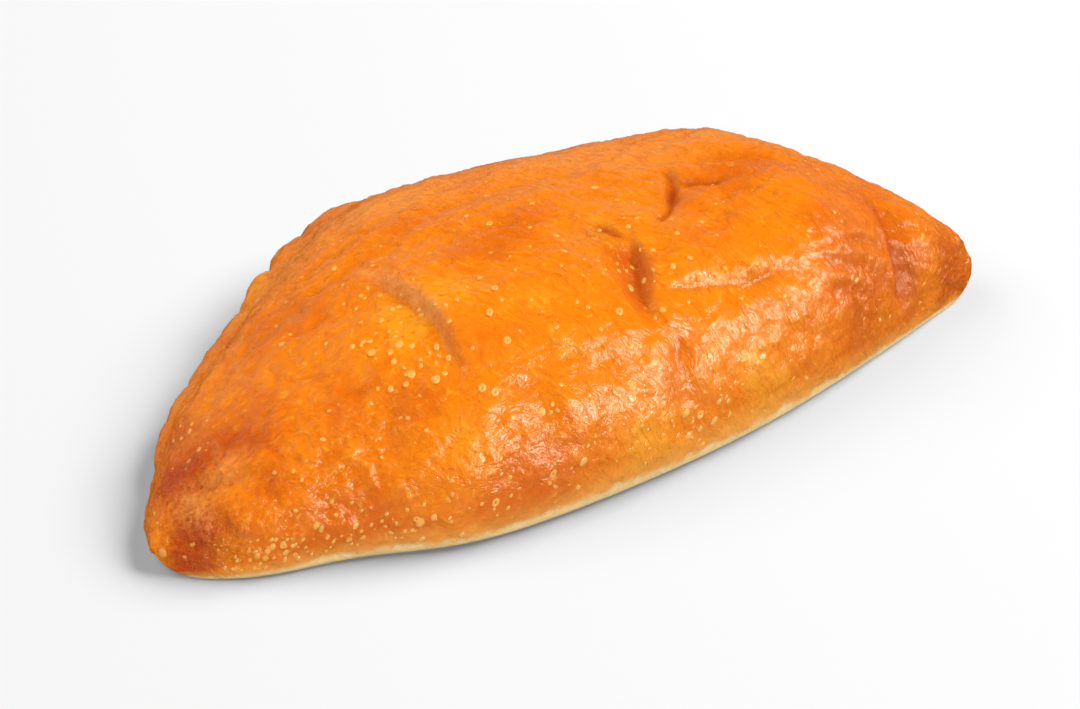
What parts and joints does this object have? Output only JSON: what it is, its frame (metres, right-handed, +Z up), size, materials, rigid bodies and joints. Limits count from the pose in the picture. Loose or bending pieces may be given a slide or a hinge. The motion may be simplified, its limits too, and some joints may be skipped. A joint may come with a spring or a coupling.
{
  "type": "calzone",
  "caption": "Whole baked calzone, a half-moon of folded dough with a bulging fold, a crimped seam and a flat base.",
  "frame": {"origin": "middle of the bounding box at the level of the flat base", "axes": "+X from the broad, browned tip to the snub tip, +Y towards the crimped seam, +Z up from the base"},
  "size_m": [0.2, 0.1072, 0.0384],
  "materials": {
    "crust": "satin egg-washed golden crust"
  },
  "bodies": {
    "root": {"calzone": "crust"}
  },
  "joints": []
}
